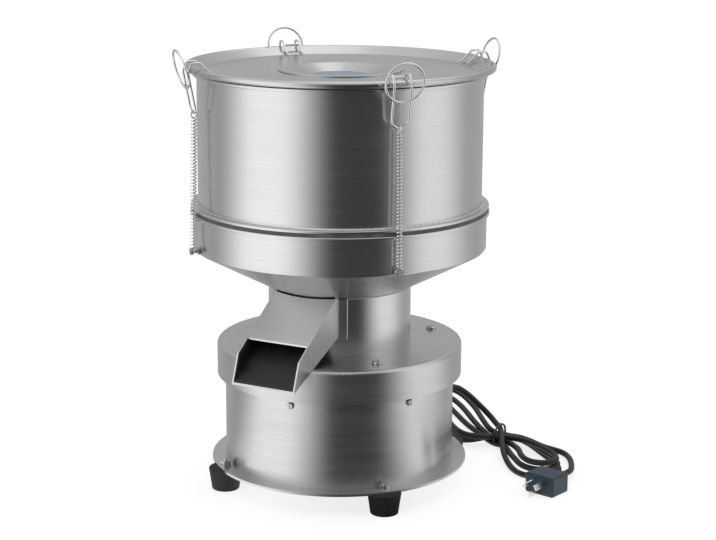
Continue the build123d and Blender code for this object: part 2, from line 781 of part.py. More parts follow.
def make_feed_cover():
    top = lid_plate + LID_T + FIT_GAP
    floor_z = top - DISH_DEPTH
    lean = LID_T * DISH_DEPTH / math.hypot(DISH_DEPTH, dish_r - dish_bottom_r)
    corners = [
        (feed_flange_r, top - LID_T, 0),
        (feed_flange_r, top, LID_T / 3),
        (dish_r, top, DISH_BEND_R),
        (dish_bottom_r, floor_z, DISH_BEND_R),
        (dish_hole_r, floor_z, 0),
        (dish_hole_r, floor_z - LID_T, 0),
        (dish_bottom_r + lean, floor_z - LID_T, DISH_BEND_R),
        (dish_r + lean, top - LID_T, DISH_BEND_R),
    ]
    save("feed_cover", turned([corner[:2] for corner in corners], [corner[2] for corner in corners]))
    save("feed_window", disc(window_r, floor_z, floor_z + WINDOW_T))


# Spring clips

bead_top = bead_z + LID_BEAD_WIRE
bead_outer = lid_bead_r + LID_BEAD_WIRE
hook_low = lid_plate - HOOK_DROP


def hook_leg():
    """(radius, height) of the bends of one leg, from the tip on the lid to the lowest wire."""
    tip_r = lid_plate_r - HOOK_TIP_INSET
    bend_r = tip_r + HOOK_TIP_RUN
    arch_r = lid_bead_r - HOOK_ARCH_RUN / 2
    arch = bead_top + HOOK_ARCH
    return [
        (tip_r, lid_plate + HOOK_WIRE_R + REST_GAP),
        (bend_r, lid_surface(bend_r) + HOOK_TIP_RISE),
        (arch_r, arch),
        (arch_r + HOOK_ARCH_RUN, arch),
        (bead_outer + HOOK_OUTSET, bead_z),
        (hook_spring_r, hook_low),
    ]


def make_clips():
    half = HOOK_SPREAD / 2
    leg = hook_leg()
    bends = [HOOK_WIRE_R * 3, HOOK_WIRE_R * 3, HOOK_WIRE_R * 3, HOOK_WIRE_R * 6, half - HOOK_WIRE_R / 2]
    bent = [(radius, half, height) for radius, height in leg]
    bent += [(radius, -half, height) for radius, height in reversed(leg)]
    hook = rod(FilletPolyline(*bent, radius=bends + bends[::-1]), HOOK_WIRE_R)
    bar_place = Pos((leg[1][0] + leg[2][0]) / 2, 0, (leg[1][1] + leg[2][1]) / 2)
    hook += bar_place * Rot(90, 0, 0) * Cylinder(HOOK_BAR_R, HOOK_SPREAD)

    # The ring leans outwards from the outside of the legs
    ring_low = bead_z - RING_HANG
    along = (bead_z - ring_low) / (bead_z - hook_low)
    leg_r = leg[4][0] + (leg[5][0] - leg[4][0]) * along
    ring_low_r = leg_r + HOOK_WIRE_R + RING_WIRE_R + FIT_GAP
    ring_place = Pos(ring_low_r + RING_R * sin(RING_LEAN), 0, ring_low + RING_R * cos(RING_LEAN))
    pull_ring = ring_place * Rot(0, 90 + RING_LEAN, 0) * Torus(RING_R, RING_WIRE_R)

    eye_inner = EYE_R - EYE_WIRE_R
    low_z = cone_top + STUD_HEIGHT - STUD_R - FIT_GAP + eye_inner
    high_z = hook_low + HOOK_WIRE_R + REST_GAP - eye_inner
    low_eye = Pos(stud_spring_r, 0, low_z) * Rot(0, 90, 0) * Torus(EYE_R, EYE_WIRE_R)
    high_eye = Pos(hook_spring_r, 0, high_z) * Rot(90, 0, 0) * Torus(EYE_R, EYE_WIRE_R)
    axis = Line((stud_spring_r, 0, low_z + EYE_R), (hook_spring_r, 0, high_z - EYE_R))
    spring = rod(axis, COIL_R) + low_eye + high_eye

    for i in range(CLIP_COUNT):
        turn = Rot(0, 0, CLIP_AZIMUTH + i * 360.0 / CLIP_COUNT)
        save(f"clip_{i + 1}_hook", turn * hook)
        save(f"clip_{i + 1}_ring", turn * pull_ring)
        save(f"clip_{i + 1}_spring", turn * spring)

    head_low = stud_spring_r + EYE_WIRE_R + FIT_GAP * 3 - chamber_r
    stud = disc(STUD_R, -CHAMBER_WALL - THREAD_END, head_low)
    stud += disc(STUD_HEAD_R, head_low, head_low + STUD_HEAD_T)
    stud += hexagon(M4[3], FIT_GAP, FIT_GAP + STUD_NUT_T)
    save("spring_studs", group(at_corners(Rot(0, 90, 0) * stud, chamber_r, cone_top + STUD_HEIGHT)))


# Electrical parts

def make_switch():
    face = HOUSING_R + BEZEL_T
    body = centred_box(SWITCH_W, HOUSING_R - SWITCH_DEPTH, face, SWITCH_H)
    bezel = centred_box(BEZEL_W, HOUSING_R - HOUSING_WALL, face, BEZEL_H)
    bezel = fillet(bezel.edges().filter_by(Axis.Y), BEZEL_CORNER_R)
    bezel -= disc(HOUSING_R + FIT_GAP, -BEZEL_H, BEZEL_H)
    pocket = centred_box(POCKET_W, face - POCKET_DEPTH, face + REACH, POCKET_H)
    pivot_y = face - ROCKER_PIN_DROP
    pin_space = Cylinder(ROCKER_PIN_R + PIVOT_GAP, ROCKER_PIN_LENGTH + 2 * ROCKER_PIN_END_GAP)
    body = body + bezel - pocket - Pos(0, pivot_y, 0) * Rot(0, 90, 0) * pin_space
    save("switch_body", Pos(0, 0, SWITCH_Z) * body)

    half_h = POCKET_H / 2 - ROCKER_END_GAP
    half_w = POCKET_W / 2 - ROCKER_SIDE_GAP
    back = -ROCKER_BACK
    front = ROCKER_DEPTH - ROCKER_BACK
    outline = [
        (back + ROCKER_DISH, -half_h),
        (front, -half_h),
        (front - ROCKER_DISH, 0),
        (front, half_h),
        (back + ROCKER_DISH, half_h),
        (back, 0),
    ]
    rocker = prism(outline, half_w) + Rot(0, 90, 0) * Cylinder(ROCKER_PIN_R, ROCKER_PIN_LENGTH)
    save("switch_rocker", Pos(0, pivot_y, SWITCH_Z) * Rot(-ROCKER_TILT, 0, 0) * rocker)


def make_inside_electrics():
    top = plate_top + CAPACITOR_H
    outline = [(0, plate_top), (CAPACITOR_R, plate_top), (CAPACITOR_R, top), (0, top)]
    can = turned(outline, [0, 0, CAPACITOR_EDGE, 0])
    save("run_capacitor", Rot(0, 0, CAPACITOR_AZIMUTH) * Pos(inside_circle, 0, 0) * can)

    block_top = plate_top + BLOCK_HEIGHT
    half_width = BLOCK_WIDTH / 2
    half_length = BLOCK_LENGTH / 2
    block = box((-half_width, -half_length, plate_top), (half_width, half_length, block_top))
    for i in range(BLOCK_WELLS):
        place = Pos(0, (i - (BLOCK_WELLS - 1) / 2) * BLOCK_WELL_PITCH, 0)
        block -= place * disc(BLOCK_WELL_R, block_top - BLOCK_WELL_DEPTH, block_top + REACH)
    save("terminal_block", Rot(0, 0, BLOCK_AZIMUTH) * Pos(inside_circle, 0, 0) * block)


# Cord, hank and plug

cord_x, cord_y, _ = polar(HOUSING_R, GLAND_AZIMUTH, 0)


def arc_radii(points):
    """Radius of the arc at each inner point: 0.45 of its shorter run over the tangent of half the turn."""
    radii = []
    for before, here, after in zip(points, points[1:], points[2:]):
        run_in = Vector(*here) - Vector(*before)
        run_out = Vector(*after) - Vector(*here)
        half_turn = run_in.get_angle(run_out) / 2
        radii.append(0.45 * min(run_in.length, run_out.length) / tan(half_turn))
    return radii


def make_gland():
    shoulder = GLAND_FLANGE_T + GLAND_SHOULDER_H
    gland = turned([
        (0, -GLAND_INSIDE),
        (GLAND_TIP_R, -GLAND_INSIDE),
        (GLAND_TIP_R, REST_GAP),
        (GLAND_FLANGE_R, REST_GAP),
        (GLAND_FLANGE_R, GLAND_FLANGE_T),
        (GLAND_SHOULDER_R, shoulder),
        (GLAND_TIP_R, GLAND_LENGTH),
        (0, GLAND_LENGTH),
    ])
    place = Pos(*polar(HOUSING_R, GLAND_AZIMUTH, GLAND_Z)) * Rot(0, 0, GLAND_AZIMUTH) * Rot(0, 90, 0)
    save("cord_gland", place * gland)


def make_lead():
    tip_r = HOUSING_R + GLAND_LENGTH
    first = polar(tip_r, GLAND_AZIMUTH, GLAND_Z)
    second = polar(tip_r + LEAD_STRAIGHT, GLAND_AZIMUTH, GLAND_Z)
    points = [first, second] + [(cord_x + x, cord_y + y, z) for x, y, z in LEAD_POINTS]
    radii = arc_radii(points)
    path = FilletPolyline(*points, radius=radii)
    lead = rod(path, CORD_R)
    save("supply_cord", lead)
    section = math.pi * CORD_R**2
    print("lead radii", [round(radius, 1) for radius in radii], "length", round(path.length, 1))
    print("lead volume over section times length", round(lead.volume / (section * path.length), 4))


def make_hank():
    x = cord_x + HANK_WAIST[0]
    y = cord_y + HANK_WAIST[1]
    half_x = WAIST_LENGTH / 2
    half_y = WAIST_WIDTH / 2
    hank = box((x - half_x, y - half_y, 0), (x + half_x, y + half_y, HANK_HEIGHT))
    for (lobe_x, lobe_y), major, minor, turn in HANK_LOBES:
        outline = Pos(cord_x + lobe_x, cord_y + lobe_y) * Rot(0, 0, turn) * Ellipse(major, minor)
        slab = box((x - half_x, y - major, -REACH), (x + half_x, y + major, HANK_HEIGHT + REACH))
        hank += extrude(outline, amount=HANK_HEIGHT) - slab
    save("cord_hank", hank)

    half_tie = TIE_WIDTH / 2
    outer_y = half_y + TIE_T
    tie = box((x - half_tie, y - outer_y, 0), (x + half_tie, y + outer_y, HANK_HEIGHT + TIE_T))
    tie -= box((x - half_x, y - half_y, -REACH), (x + half_x, y + half_y, HANK_HEIGHT))
    save("cord_tie", tie)


def make_plug():
    middle = PLUG_HEIGHT / 2
    back = PLUG_DEPTH / 2
    block = fillet(centred_box(PLUG_WIDTH, -back, back, PLUG_HEIGHT).edges(), PLUG_EDGE)
    boot = turned([
        (0, -PLUG_EDGE),
        (PLUG_BOOT_R, -PLUG_EDGE),
        (PLUG_BOOT_R, PLUG_EDGE),
        (GLAND_TIP_R, PLUG_BOOT),
        (0, PLUG_BOOT),
    ])
    place = Pos(cord_x + PLUG_CENTRE[0], cord_y + PLUG_CENTRE[1], middle) * Rot(0, 0, PLUG_TURN)
    save("mains_plug", place * (block + Pos(0, back, 0) * Rot(-90, 0, 0) * boot))
    tail_start = back + PLUG_BOOT
    tail = rod(Line((0, tail_start, 0), (0, tail_start + TAIL_LENGTH, 0)), CORD_R)
    save("plug_tail", place * tail)

    flat = centred_box(PIN_THICKNESS, -PIN_LENGTH, 0, PIN_WIDTH)
    pins = [place * Pos(x, -back, z) * Rot(0, turn, 0) * flat for x, z, turn in PIN_LAYOUT]
    save("plug_pins", group(pins))


os.makedirs("parts", exist_ok=True)
make_feet()
make_base_plate()
make_housing()
make_suspension()
make_cap()
make_motor()
make_rotor()
make_chamber()
make_discharge_floor()
make_chute()
make_sieve()
make_barrel()
make_lid()
make_feed_cover()
make_clips()
make_switch()
make_inside_electrics()
make_gland()
make_lead()
make_hank()
make_plug()
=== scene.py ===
import math

import bpy
from mathutils import Matrix, Vector


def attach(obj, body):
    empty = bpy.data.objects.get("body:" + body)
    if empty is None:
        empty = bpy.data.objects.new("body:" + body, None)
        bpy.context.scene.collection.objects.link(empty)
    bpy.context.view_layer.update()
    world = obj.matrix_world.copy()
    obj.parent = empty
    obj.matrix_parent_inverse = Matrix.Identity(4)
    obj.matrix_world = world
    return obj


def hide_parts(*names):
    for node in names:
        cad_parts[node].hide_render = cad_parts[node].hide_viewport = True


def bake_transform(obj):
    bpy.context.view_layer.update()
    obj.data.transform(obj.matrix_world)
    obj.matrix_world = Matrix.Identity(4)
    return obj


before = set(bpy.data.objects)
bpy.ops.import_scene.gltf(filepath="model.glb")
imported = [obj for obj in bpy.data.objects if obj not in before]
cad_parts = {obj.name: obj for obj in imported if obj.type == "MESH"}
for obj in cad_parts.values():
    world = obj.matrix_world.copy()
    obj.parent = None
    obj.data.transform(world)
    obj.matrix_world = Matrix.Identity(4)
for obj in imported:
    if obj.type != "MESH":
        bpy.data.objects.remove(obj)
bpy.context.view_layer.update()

# The vibrating sieve stands on the floor with its axis at the origin, Z up, and its chute towards -Y.
# Lengths are in metres and angles in degrees.

# Camera
CAMERA_TURN = 28.9
CAMERA_DISTANCE = 1.929
CAMERA_HEIGHT = 0.68286
CAMERA_YAW = 0.579
CAMERA_PITCH = -13.235
CAMERA_ROLL = 0.332
LENS = 93.16
SENSOR_WIDTH = 36.0
VIEW_REACH = 60.0
camera_azimuth = CAMERA_TURN - 90.0

# Clips
CLIP_AZIMUTHS = (50.0, 140.0, 230.0, 320.0)
STUD_R = 0.1624        # radius of a spring's eye on its stud
STUD_EYE_Z = 0.2627
HOOK_R = 0.1596        # radius of its eye on the hook
HOOK_EYE_Z = 0.4048
EYE_R = 0.0033
COIL_R = 0.0027        # of the coil's centre line
COIL_WIRE = 0.0008
COIL_PITCH = 0.0034
COIL_STEPS = 12        # points of a turn
COIL_SIDES = 6         # of the wire
EYE_STEPS = 16
EYE_TURN = 320.0       # of a turn that an eye goes round
STUD_EYE_START = 110.0
HOOK_EYE_START = -70.0

# Springs under the cap
SUSPENSION_CIRCLE = 0.1076
SUSPENSION_LOW = 0.1256
SUSPENSION_HIGH = 0.1511
SUSPENSION_R = 0.0105  # of the wire's centre line
SUSPENSION_WIRE = 0.0015
SUSPENSION_TURNS = 5
SUSPENSION_STEPS = 32  # points of a turn
SUSPENSION_SIDES = 12  # of the wire

# Studio round the object. A softbox: degrees to the right of the camera, half the width of its bright
# middle, half the width at which it has faded out, and brightness
SOFTBOXES = ((-58.0, 10.0, 56.0, 1.35), (75.0, 5.0, 46.0, 1.05))
DARK = 0.06            # behind the camera
BACKDROP = 0.45        # behind the object
CEILING = 0.9
SIDE_END = 80.0        # degrees from the camera at which the backdrop starts to show, and is full
BACK_START = 120.0
CEILING_START = 0.3    # rise of a direction at which the ceiling starts to show, and is full
CEILING_FULL = 0.8
FLOOR_REACH = 30.0
FLOOR_GLOW = 0.8       # brightness of the floor for the camera, apart from the light that falls on it
FLOOR_SHADED = 0.3     # its own tone for the camera, which lets the shadow show
FLOOR_TONE = 0.6       # its tone for the light it throws back
PANEL_TURN = 150.0     # degrees from the camera to the panel of light
PANEL_DISTANCE = 0.9
PANEL_HEIGHT = 2.2
PANEL_SIZE = 1.4
PANEL_LEVEL = 0.5      # its brightness, with 1 as white
PANEL_AIM = 0.27       # height at which it looks

# Cord
CORD_R = 0.0033
FLOOR_GAP = 0.0001     # under the lowest layer of the hank
LAYER = 0.0069         # height from one layer of the hank to the next
TURNS = 3
RAMP = 3               # floor points over which a turn climbs from the tie's height or down to it
EXIT = (0.05158, 0.14171, 0.067)
LEAD = (
    (0.05945, 0.16332, 0.067),
    (0.0670, 0.1850, 0.0525),
    (0.0765, 0.1990, 0.0360),
    (0.0890, 0.2020, 0.0240),
    (0.1030, 0.1925, 0.0175),
    (0.1120, 0.1830, 0.0173),
)
# Floor points of a turn on each side of the tie, for the first turn and for the last: out of the tie
# along the side nearest the camera, round the far end and back
LEFT_FIRST = (
    (0.099, 0.173), (0.087, 0.162), (0.073, 0.160), (0.055, 0.176), (0.029, 0.201), (0.001, 0.221),
    (-0.025, 0.239), (-0.038, 0.258), (-0.034, 0.278), (-0.014, 0.283), (0.004, 0.270), (0.025, 0.247),
    (0.055, 0.214), (0.084, 0.190),
)
LEFT_LAST = (
    (0.099, 0.158), (0.084, 0.148), (0.068, 0.154), (0.042, 0.185), (0.013, 0.219), (-0.013, 0.247),
    (-0.027, 0.268), (-0.024, 0.290), (-0.004, 0.296), (0.014, 0.284), (0.033, 0.264), (0.054, 0.239),
    (0.073, 0.216), (0.094, 0.192),
)
RIGHT_FIRST = (
    (0.127, 0.152), (0.142, 0.124), (0.160, 0.101), (0.179, 0.085), (0.199, 0.085), (0.212, 0.099),
    (0.212, 0.119), (0.198, 0.139), (0.174, 0.160), (0.150, 0.179), (0.130, 0.187),
)
RIGHT_LAST = (
    (0.129, 0.167), (0.145, 0.146), (0.160, 0.124), (0.171, 0.105), (0.186, 0.092), (0.203, 0.094),
    (0.212, 0.109), (0.202, 0.128), (0.180, 0.145), (0.155, 0.162), (0.130, 0.171),
)
# Where each turn passes through the tie, on its way to the left and then on its way back
TO_LEFT = ((0.112, 0.185, 0.0103), (0.112, 0.178, 0.0103), (0.112, 0.170, 0.0103))
TO_RIGHT = ((0.108, 0.1675, 0.0035), (0.108, 0.1765, 0.0035), (0.109, 0.191, 0.006))
TAIL = (
    (0.1246, 0.1979, 0.0055),
    (0.1455, 0.1855, 0.0080),
    (0.1684, 0.1717, 0.0080),
    (0.1833, 0.1728, 0.0060),
    (0.1968, 0.1714, 0.0045),
    (0.2123, 0.1505, 0.0050),
    (0.2281, 0.1122, 0.0085),
)
TIE = (0.112, 0.179)
TIE_HALF = 0.0145      # half the width that the tie spans
TIE_TOP = 0.0215
TIE_BOTTOM = 0.0012
TIE_SIDE = 0.008       # height at which it is widest
TIE_WIRE = 0.0012
PLUG_CENTRE = Vector((0.2215, 0.0575, 0.011))
PLUG_TURN = -12.0
PLUG_REACH = 0.029     # from its centre to the end of its boot
PLUG_LEAD = 0.010      # straight run of the cord into the boot


def ring_point(radius, azimuth, height):
    angle = math.radians(azimuth)
    return Vector((radius * math.cos(angle), radius * math.sin(angle), height))


# Materials

class Graph:
    """Nodes of a material or world, with short calls for the ones used here."""

    def __init__(self, name, world=None):
        self.material = world or bpy.data.materials.new(name)
        self.material.use_nodes = True
        self.nodes = self.material.node_tree.nodes
        self.links = self.material.node_tree.links
        self.shader = self.nodes.get("Principled BSDF")

    def node(self, kind, values=(), **settings):
        """Makes a node, sets its properties, and fills its inputs by number or links sockets to them."""
        made = self.nodes.new(kind)
        for key, value in settings.items():
            setattr(made, key, value)
        for key, value in dict(values).items():
            self.put(made.inputs[key], value)
        return made

    def put(self, socket, value):
        if isinstance(value, bpy.types.NodeSocket):
            self.links.new(value, socket)
        else:
            socket.default_value = value

    def math(self, operation, a, b=0.0):
        return self.node("ShaderNodeMath", {0: a, 1: b}, operation=operation).outputs[0]

    def place(self):
        """Object coordinates, split into X, Y and Z."""
        point = self.node("ShaderNodeTexCoord").outputs["Object"]
        return point, self.node("ShaderNodeSeparateXYZ", {0: point}).outputs

    def round_axis(self):
        """Coordinates for a turned sheet: angle round the axis, height and radius."""
        point, split = self.place()
        angle = self.math("ARCTAN2", split[1], split[0])
        flat = self.node("ShaderNodeCombineXYZ", {0: split[0], 1: split[1]}).outputs[0]
        radius = self.node("ShaderNodeVectorMath", {0: flat}, operation="LENGTH").outputs["Value"]
        return angle, split[2], radius

    def stretched(self, a, a_scale, b, b_scale):
        """Flat coordinates with a scale of their own each way."""
        flat = {0: self.math("MULTIPLY", a, a_scale), 1: self.math("MULTIPLY", b, b_scale)}
        return self.node("ShaderNodeCombineXYZ", flat).outputs[0]

    def noise(self, vector, scale, detail=2.0, roughness=0.5):
        values = {"Vector": vector, "Scale": scale, "Detail": detail, "Roughness": roughness}
        return self.node("ShaderNodeTexNoise", values).outputs["Fac"]

    def spread(self, value, low, high, to_low=0.0, to_high=1.0, kind="LINEAR"):
        values = {"Value": value, "From Min": low, "From Max": high, "To Min": to_low, "To Max": to_high}
        return self.node("ShaderNodeMapRange", values, interpolation_type=kind).outputs["Result"]

    def fade(self, value, low, high, to_low, to_high):
        return self.spread(value, low, high, to_low, to_high, "SMOOTHSTEP")

    def mix(self, factor, a, b):
        made = self.node("ShaderNodeMix", data_type="RGBA")
        self.put(made.inputs["Factor"], factor)
        self.put(made.inputs["A"], a)
        self.put(made.inputs["B"], b)
        return made.outputs["Result"]

    def bump(self, height, distance, strength=1.0, normal=None):
        values = {"Height": height, "Distance": distance, "Strength": strength}
        if normal is not None:
            values["Normal"] = normal
        return self.node("ShaderNodeBump", values).outputs["Normal"]

    def set(self, **values):
        for key, value in values.items():
            self.put(self.shader.inputs[key.replace("_", " ")], value)
        return self.material


def grey(value):
    return (value, value, value, 1.0)


def turned_steel(name, tone=0.62, roughness=0.24, grain=0.5, anisotropy=0.45):
    """Polished stainless sheet rolled round the Z axis: fine scratches run round it and it is slightly wavy."""
    g = Graph(name)
    angle, height, radius = g.round_axis()
    across = g.math("ADD", height, radius)
    scratches = g.noise(g.stretched(angle, 2.2, across, 900.0), 1.0, 3.0, 0.6)
    streaks = g.noise(g.stretched(angle, 0.8, across, 130.0), 1.0, 2.0, 0.5)
    point, _ = g.place()
    cloud = g.noise(point, 9.0, 3.0, 0.55)
    streaky = g.spread(streaks, 0.3, 0.7, roughness - 0.03 * grain, roughness + 0.05 * grain)
    rough = g.math("ADD", streaky, g.spread(cloud, 0.35, 0.65, -0.015, 0.025))
    shade = g.spread(scratches, 0.3, 0.7, tone * (1.0 - 0.10 * grain), tone * (1.0 + 0.05 * grain))
    tint = g.mix(g.spread(cloud, 0.35, 0.7), (1.0, 1.0, 1.0, 1.0), (0.965, 0.97, 0.985, 1.0))
    colour = g.node("ShaderNodeVectorMath", {0: tint}, operation="SCALE")
    g.put(colour.inputs["Scale"], shade)
    normal = g.bump(cloud, 0.0006, 0.25)
    normal = g.bump(scratches, 0.00002, 0.5 * grain, normal)
    tangent = g.node("ShaderNodeTangent", direction_type="RADIAL", axis="Z").outputs[0]
    return g.set(
        Base_Color=colour.outputs[0], Metallic=1.0, Roughness=rough, Normal=normal, Anisotropic=anisotropy,
        Anisotropic_Rotation=0.25, Tangent=tangent
    )


def sheet_steel(name, tone=0.60, roughness=0.28):
    """Stainless sheet with a straight grain along Z and faint rub marks."""
    g = Graph(name)
    point, split = g.place()
    along = g.node("ShaderNodeVectorMath", {0: point, 1: (650.0, 650.0, 9.0)}, operation="MULTIPLY").outputs[0]
    grain = g.noise(along, 1.0, 3.0, 0.6)
    cloud = g.noise(point, 22.0, 4.0, 0.6)
    shade = g.spread(grain, 0.3, 0.7, tone * 0.93, tone * 1.04)
    colour = g.node("ShaderNodeCombineColor", {0: shade, 1: shade, 2: g.math("MULTIPLY", shade, 1.01)}).outputs[0]
    rough = g.spread(cloud, 0.3, 0.7, roughness - 0.03, roughness + 0.06)
    normal = g.bump(cloud, 0.0005, 0.2)
    normal = g.bump(grain, 0.00002, 0.4, normal)
    return g.set(Base_Color=colour, Metallic=1.0, Roughness=rough, Normal=normal)


def wire_steel(name, tone=0.78, roughness=0.16):
    g = Graph(name)
    point, _ = g.place()
    fleck = g.noise(point, 420.0, 2.0)
    shade = g.spread(fleck, 0.3, 0.7, tone * 0.92, tone * 1.04)
    colour = g.node("ShaderNodeCombineColor", {0: shade, 1: shade, 2: shade}).outputs[0]
    return g.set(Base_Color=colour, Metallic=1.0, Roughness=g.spread(fleck, 0.3, 0.7, roughness, roughness + 0.08))


def zinc(name):
    g = Graph(name)
    point, _ = g.place()
    cloud = g.noise(point, 260.0, 3.0)
    colour = g.mix(g.spread(cloud, 0.35, 0.65), (0.50, 0.51, 0.53, 1.0), (0.60, 0.60, 0.60, 1.0))
    rough = g.spread(cloud, 0.3, 0.7, 0.26, 0.42)
    return g.set(Base_Color=colour, Metallic=1.0, Roughness=rough, Normal=g.bump(cloud, 0.0001, 0.4))


def cast_metal(name, tone, roughness=0.5):
    g = Graph(name)
    point, _ = g.place()
    pebble = g.noise(point, 700.0, 3.0)
    cloud = g.noise(point, 35.0, 3.0)
    colour = g.mix(g.spread(cloud, 0.3, 0.7), grey(tone * 0.85), grey(tone * 1.1))
    rough = g.spread(cloud, 0.3, 0.7, roughness - 0.08, roughness + 0.1)
    return g.set(Base_Color=colour, Metallic=1.0, Roughness=rough, Normal=g.bump(pebble, 0.00025, 0.6))


def copper(name):
    g = Graph(name)
    angle, height, radius = g.round_axis()
    around = g.math("SINE", g.math("MULTIPLY", g.math("ADD", height, radius), 6283.0))
    # Each turn of wire is painted lighter at its crown and darker in the groove to the next turn: painted
    # highlight and painted shade on every turn, over the same bump.
    colour = g.mix(g.spread(around, -1.0, 1.0), (0.25, 0.07, 0.03, 1.0), (0.62, 0.22, 0.09, 1.0))
    return g.set(Base_Color=colour, Metallic=0.8, Roughness=0.35, Normal=g.bump(around, 0.0002, 0.6))


def rubber(name, tone=0.010, roughness=0.7):
    g = Graph(name)
    point, _ = g.place()
    fine = g.noise(point, 1500.0, 2.0)
    dust = g.noise(point, 60.0, 4.0, 0.6)
    colour = g.mix(g.spread(dust, 0.45, 0.75), grey(tone), grey(tone * 2.0))
    rough = g.spread(dust, 0.3, 0.7, roughness - 0.08, roughness + 0.1)
    return g.set(Base_Color=colour, Roughness=rough, Normal=g.bump(fine, 0.00006, 0.5))


def moulded(name, colour_low, colour_high, roughness=0.4, texture=900.0):
    g = Graph(name)
    point, _ = g.place()
    fine = g.noise(point, texture, 2.0)
    cloud = g.noise(point, 40.0, 3.0)
    colour = g.mix(g.spread(cloud, 0.3, 0.7), colour_low, colour_high)
    rough = g.spread(cloud, 0.3, 0.7, roughness - 0.05, roughness + 0.07)
    return g.set(Base_Color=colour, Roughness=rough, Normal=g.bump(fine, 0.00005, 0.5))


def woven_mesh(name):
    """Plain weave of fine steel wire: pale wires, with the holes between them painted dark as painted shade seen
    through the mesh.
    """
    g = Graph(name)
    point, split = g.place()
    warp = g.math("ABSOLUTE", g.math("SINE", g.math("MULTIPLY", split[0], 2600.0)))
    weft = g.math("ABSOLUTE", g.math("SINE", g.math("MULTIPLY", split[1], 2600.0)))
    wires = g.math("MAXIMUM", warp, weft)
    # The holes get a near-black colour: painted shade seen through them, not a colour of the wire.
    colour = g.mix(g.spread(wires, 0.55, 0.8), grey(0.05), grey(0.55))
    return g.set(Base_Color=colour, Metallic=0.9, Roughness=0.35, Normal=g.bump(wires, 0.0002, 0.7))


steel = turned_steel("steel_polished")
brushed = turned_steel("steel_brushed", tone=0.58, roughness=0.30, grain=1.0, anisotropy=0.55)
lid_steel = turned_steel("steel_lid", tone=0.55, roughness=0.20, grain=0.5, anisotropy=0.3)
chute_steel = sheet_steel("steel_sheet")
wire = wire_steel("steel_wire")
plated = zinc("zinc_plated")
aluminium = cast_metal("aluminium_cast", 0.5)
machined = cast_metal("steel_machined", 0.32, 0.4)
# Copper of the motor winding, with a painted highlight and painted shade on each turn of wire.
winding = copper("copper_winding_painted_turn_shading")
black_rubber = rubber("rubber_black")
seal = rubber("rubber_seal", 0.08, 0.5)
# Dark sheet over the inside of the chute. Under the top plate its dark colour is painted shade; at the lip, where
# light falls, it is the sheet's own dark colour.
liner = rubber("liner_dark_and_shade", 0.014, 0.5)
black_plastic = moulded("plastic_black", grey(0.018), grey(0.026))
cord_sheath = moulded("cord_sheath", grey(0.006), grey(0.010), 0.5, 1200.0)
plug_plastic = moulded("plug_navy", (0.011, 0.030, 0.052, 1.0), (0.016, 0.040, 0.066, 1.0), 0.45, 700.0)
window_plastic = moulded("window_blue", (0.09, 0.22, 0.33, 1.0), (0.16, 0.30, 0.41, 1.0), 0.2, 90.0)
pale_plastic = moulded("plastic_pale", (0.55, 0.54, 0.50, 1.0), (0.62, 0.61, 0.58, 1.0))
brass = wire_steel("pin_metal", 0.7, 0.2)
mesh_cloth = woven_mesh("steel_mesh_painted_hole_shade")

FINISHES = {
    steel: ("lower_chamber", "barrel", "sieve_ring", "discharge_floor"),
    brushed: ("housing", "vibrating_cap", "base_plate", "support_ring"),
    lid_steel: ("lid", "feed_cover"),
    chute_steel: ("discharge_chute",),
    wire: [f"clip_{i}_{part}" for i in (1, 2, 3, 4) for part in ("hook", "ring")],
    plated: ("foot_bolts", "foot_nuts", "housing_screws", "spring_screws", "cap_screws", "motor_bolts",
             "weight_bolts", "spring_studs"),
    aluminium: ("motor_housing", "motor_end_cover"),
    machined: ("stator_core", "rotor_core", "motor_shaft", "upper_weight", "lower_weight", "upper_bearing",
               "lower_bearing"),
    winding: ("stator_winding",),
    black_rubber: ("rubber_feet",),
    seal: ("sieve_gasket", "lid_gasket"),
    # Dark sheet inside the chute, which is painted shade under the top plate.
    liner: ("chute_liner",),
    black_plastic: ("switch_body", "switch_rocker", "cord_gland"),
    plug_plastic: ("mains_plug",),
    window_plastic: ("feed_window",),
    pale_plastic: ("run_capacitor", "terminal_block"),
    brass: ("plug_pins",),
    mesh_cloth: ("sieve_mesh",),
}


def finish_nodes():
    for material, nodes in FINISHES.items():
        for node in nodes:
            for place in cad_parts[node].material_slots:
                place.material = material


# Curves

def curve_piece(name, points, radius, material, resolution=8):
    """Round wire along one NURBS spline through the given control points."""
    data = bpy.data.curves.new(name, "CURVE")
    data.dimensions = "3D"
    data.bevel_depth = radius
    data.bevel_resolution = 3
    data.use_fill_caps = True
    data.resolution_u = resolution
    spline = data.splines.new("NURBS")
    spline.points.add(len(points) - 1)
    for place, point in zip(spline.points, points):
        place.co = (*point, 1.0)
    spline.order_u = 3
    spline.use_endpoint_u = True
    data.materials.append(material)
    piece = bpy.data.objects.new(name, data)
    bpy.context.scene.collection.objects.link(piece)
    return piece


def hank_side(first, last, turn, enter, leave):
    """Control points of one turn on one side of the tie, ramped from and to the heights at the tie."""
    share = turn / (TURNS - 1)
    level = CORD_R + FLOOR_GAP + LAYER * turn
    points = []
    for i, (a, b) in enumerate(zip(first, last)):
        start = max(0.0, 1 - (i + 1) / RAMP)
        end = max(0.0, 1 - (len(first) - i) / RAMP)
        x = a[0] + (b[0] - a[0]) * share
        y = a[1] + (b[1] - a[1]) * share
        points.append((x, y, level + (enter - level) * start + (leave - level) * end))
    return points


